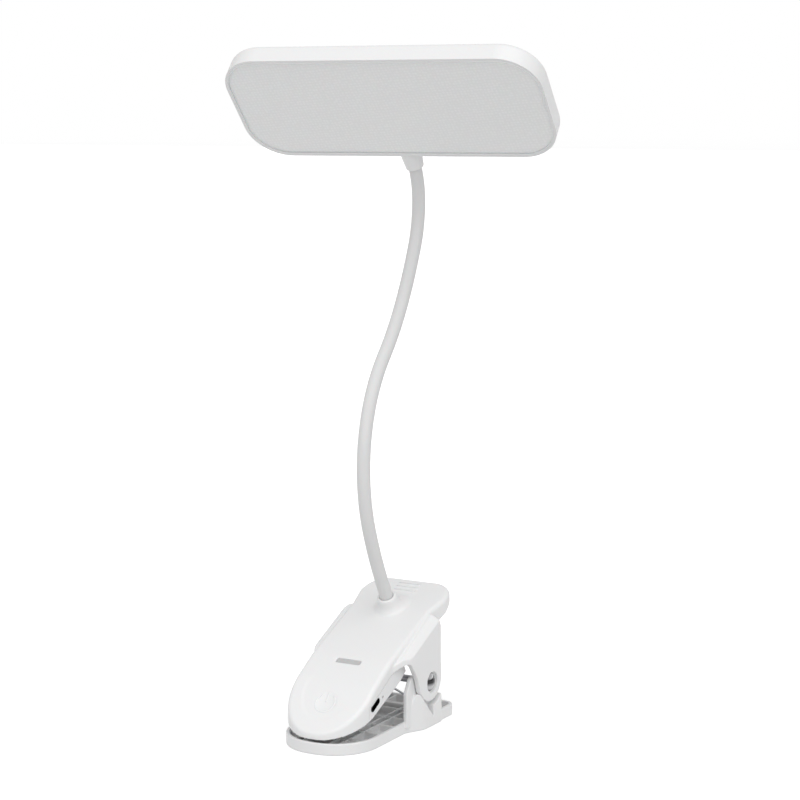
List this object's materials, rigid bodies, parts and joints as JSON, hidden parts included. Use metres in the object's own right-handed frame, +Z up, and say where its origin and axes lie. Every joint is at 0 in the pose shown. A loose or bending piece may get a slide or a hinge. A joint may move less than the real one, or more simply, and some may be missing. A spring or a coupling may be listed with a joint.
{
  "type": "clip-on reading lamp",
  "caption": "Clip-on reading lamp: a sprung two-jaw clip, a slim bendable neck and a wide flat rounded head with a frosted diffuser.",
  "frame": {"origin": "centre of the lower jaw's flat underside", "axes": "+Z up, +Y from the jaw's mouth towards its press tail, +X to the side with the charging inlet"},
  "size_m": [0.1782, 0.1183, 0.3597],
  "materials": {
    "white_plastic": "fine satin",
    "cover_plastic": "fine satin",
    "tray_plastic": "satin",
    "silicone": "soft matte",
    "grip_rubber": "matte",
    "diffuser": "frosted with a fine dot pattern",
    "clear_plastic": "frosted light pipe",
    "chrome": "polished",
    "steel": "drawn wire and turned steel",
    "brass": "turned",
    "board": "solder mask",
    "led_board": "white solder mask",
    "led": "phosphor",
    "battery": "pouch foil",
    "lead": "insulation"
  },
  "bodies": {
    "lower_jaw": {"lower_jaw": "tray_plastic"},
    "upper_jaw": {"upper_shell": "white_plastic", "upper_cover": "cover_plastic", "hinge_pin": "steel", "pin_cap_right": "chrome", "pin_cap_left": "chrome", "torsion_spring": "steel", "control_board": "board", "usb_socket": "chrome", "indicator_window": "clear_plastic", "status_leds": "led", "touch_spring": "steel", "battery": "battery", "grip_pad": "grip_rubber", "neck_ferrule": "brass", "neck_nut": "steel", "neck_sleeve_1": "silicone", "neck_core_1": "steel", "neck_lead_1": "lead"},
    "neck_2": {"neck_sleeve_2": "silicone", "neck_core_2": "steel", "neck_lead_2": "lead"},
    "neck_3": {"neck_sleeve_3": "silicone", "neck_core_3": "steel", "neck_lead_3": "lead"},
    "neck_4": {"neck_sleeve_4": "silicone", "neck_core_4": "steel", "neck_lead_4": "lead"},
    "neck_5": {"neck_sleeve_5": "silicone", "neck_core_5": "steel", "neck_lead_5": "lead"},
    "neck_6": {"neck_sleeve_6": "silicone", "neck_core_6": "steel", "neck_lead_6": "lead"},
    "neck_7": {"neck_sleeve_7": "silicone", "neck_core_7": "steel", "neck_lead_7": "lead"},
    "head": {"neck_sleeve_8": "silicone", "neck_core_8": "steel", "neck_lead_8": "lead", "neck_collar": "white_plastic", "head_back_shell": "white_plastic", "head_diffuser": "diffuser", "led_board": "led_board", "led_chips": "led"}
  },
  "joints": [
    {"name": "clip_hinge", "type": "hinge", "parent": "lower_jaw", "child": "upper_jaw", "pos_m": [0, 0.024, 0.0236], "axis": [-1, 0, 0], "range_deg": [0, 30], "stiffness_Nm_per_rad": 0.8, "springref_deg": -40.11, "deforming": ["torsion_spring"]},
    {"name": "neck_bend_low", "type": "hinge", "parent": "upper_jaw", "child": "neck_2", "pos_m": [0, 0.00886, 0.10439], "axis": [-1, 0, 0], "range_deg": [-15, 15]},
    {"name": "neck_sway_low", "type": "hinge", "parent": "neck_2", "child": "neck_3", "pos_m": [0, 0.00259, 0.13664], "axis": [0, 0.9996, 0.0279], "range_deg": [-15, 15]},
    {"name": "neck_bend_middle", "type": "hinge", "parent": "neck_3", "child": "neck_4", "pos_m": [0, 0.00756, 0.16908], "axis": [-1, 0, 0], "range_deg": [-20, 20]},
    {"name": "neck_sway_high", "type": "hinge", "parent": "neck_4", "child": "neck_5", "pos_m": [0, 0.02417, 0.19734], "axis": [0, 0.7443, -0.6678], "range_deg": [-20, 20]},
    {"name": "neck_bend_high", "type": "hinge", "parent": "neck_5", "child": "neck_6", "pos_m": [0, 0.04344, 0.22405], "axis": [-1, 0, 0], "range_deg": [-25, 25]},
    {"name": "head_turn", "type": "hinge", "parent": "neck_6", "child": "neck_7", "pos_m": [0, 0.05771, 0.25378], "axis": [0, 0.3681, 0.9298], "range_deg": [-40, 40]},
    {"name": "head_nod", "type": "hinge", "parent": "neck_7", "child": "head", "pos_m": [0, 0.0623, 0.28019], "axis": [-1, 0, 0], "range_deg": [-30, 30]}
  ]
}
